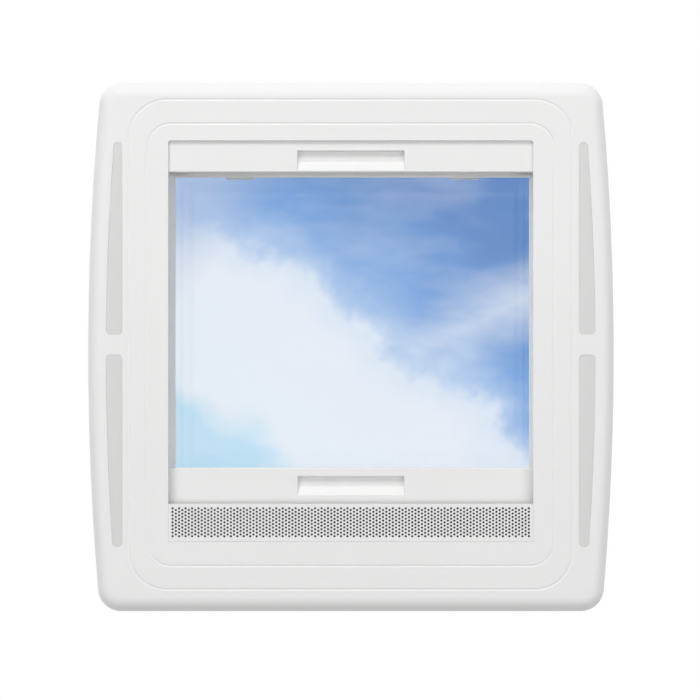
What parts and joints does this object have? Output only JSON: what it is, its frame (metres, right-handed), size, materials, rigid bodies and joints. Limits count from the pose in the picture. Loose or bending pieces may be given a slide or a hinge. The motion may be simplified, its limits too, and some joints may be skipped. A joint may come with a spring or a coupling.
{
  "type": "caravan roof vent",
  "caption": "Square caravan roof light with a clear double dome hinged at one end, a white room-side frame with light strips, a vent strip, and a blackout blind and flyscreen that slide.",
  "frame": {"origin": "centre of the square roof cut-out, in the plane of the roof's outer skin", "axes": "+Z out of the roof, -Z into the room; +Y towards the hinged end; +X to the right when the room side is seen from below with the hinged end down"},
  "size_m": [0.5308, 0.5336, 0.154],
  "materials": {
    "white_frame": "fine satin, moulded",
    "outer_white": "satin, moulded, slightly weathered",
    "seal_tape": "dull grey sealing tape",
    "rubber_seal": "matte black",
    "steel": "zinc plated",
    "white_coated": "white powder coat, satin",
    "black_plastic": "fine grain",
    "grey_plastic": "satin",
    "filter_mesh": "woven mesh",
    "cord_yarn": "tight braid",
    "blackout_cloth": "pleated, coated",
    "insect_net": "pleated net",
    "lens_frosted": "frosted diffuser",
    "light_board": "white solder mask",
    "lead_cover": "smooth",
    "clear_acrylic": "clear, polished"
  },
  "bodies": {
    "root": {"outer_frame": "outer_white", "flange_seal": "seal_tape", "rim_seal": "rubber_seal", "hinge_block_left": "outer_white", "hinge_block_right": "outer_white", "hinge_pin_left": "steel", "hinge_pin_right": "steel", "guide_plate_left": "black_plastic", "guide_plate_right": "black_plastic", "blind_rail_left": "white_coated", "blind_rail_right": "white_coated", "hinge_block_screws": "steel", "guide_screws": "steel", "bar_clips": "outer_white", "clamp_claws": "steel", "claw_screws": "steel", "interior_frame": "white_frame", "vent_grille": "white_frame", "vent_filter": "filter_mesh", "rail_screws": "steel", "front_end_strip": "grey_plastic", "rear_end_strip": "grey_plastic", "blackout_cords": "cord_yarn", "flyscreen_cords": "cord_yarn", "blackout_pleats": "blackout_cloth", "flyscreen_pleats": "insect_net", "light_leads": "lead_cover", "light_socket": "black_plastic", "light_lens_front_left": "lens_frosted", "light_board_front_left": "light_board", "light_lens_front_right": "lens_frosted", "light_board_front_right": "light_board", "light_lens_rear_left": "lens_frosted", "light_board_rear_left": "light_board", "light_lens_rear_right": "lens_frosted", "light_board_rear_right": "light_board"},
    "dome": {"dome_shell": "clear_acrylic", "dome_pane": "clear_acrylic", "dome_screws": "steel", "dome_hinge_left": "outer_white", "dome_hinge_right": "outer_white", "bar_bracket_left": "outer_white", "bar_bracket_right": "outer_white"},
    "lift_bar": {"lift_bar_tube": "white_coated", "lift_arm_left": "white_coated", "lift_arm_right": "white_coated", "arm_follower_left": "black_plastic", "arm_follower_right": "black_plastic"},
    "blackout": {"blackout_bar": "white_frame", "blackout_glider_left": "grey_plastic", "blackout_glider_right": "grey_plastic"},
    "flyscreen": {"flyscreen_bar": "white_frame", "flyscreen_glider_left": "grey_plastic", "flyscreen_glider_right": "grey_plastic"}
  },
  "joints": [
    {"name": "dome_hinge", "type": "hinge", "parent": "root", "child": "dome", "pos_m": [0, 0.212, 0.03], "axis": [-1, 0, 0], "range_deg": [0, 50]},
    {"name": "lift_bar_pivot", "type": "hinge", "parent": "dome", "child": "lift_bar", "pos_m": [0, -0.1857, 0.022], "axis": [-1, 0, 0], "range_deg": [0, 14.01]},
    {"name": "blackout_slide", "type": "slide", "parent": "root", "child": "blackout", "axis": [0, 1, 0], "range_m": [0, 0.298], "deforming": ["blackout_pleats"]},
    {"name": "flyscreen_slide", "type": "slide", "parent": "root", "child": "flyscreen", "axis": [0, -1, 0], "range_m": [0, 0.298], "deforming": ["flyscreen_pleats"]}
  ],
  "couplings": [
    {"joint": "lift_bar_pivot", "follows": "dome_hinge", "ratio": 0.28}
  ]
}
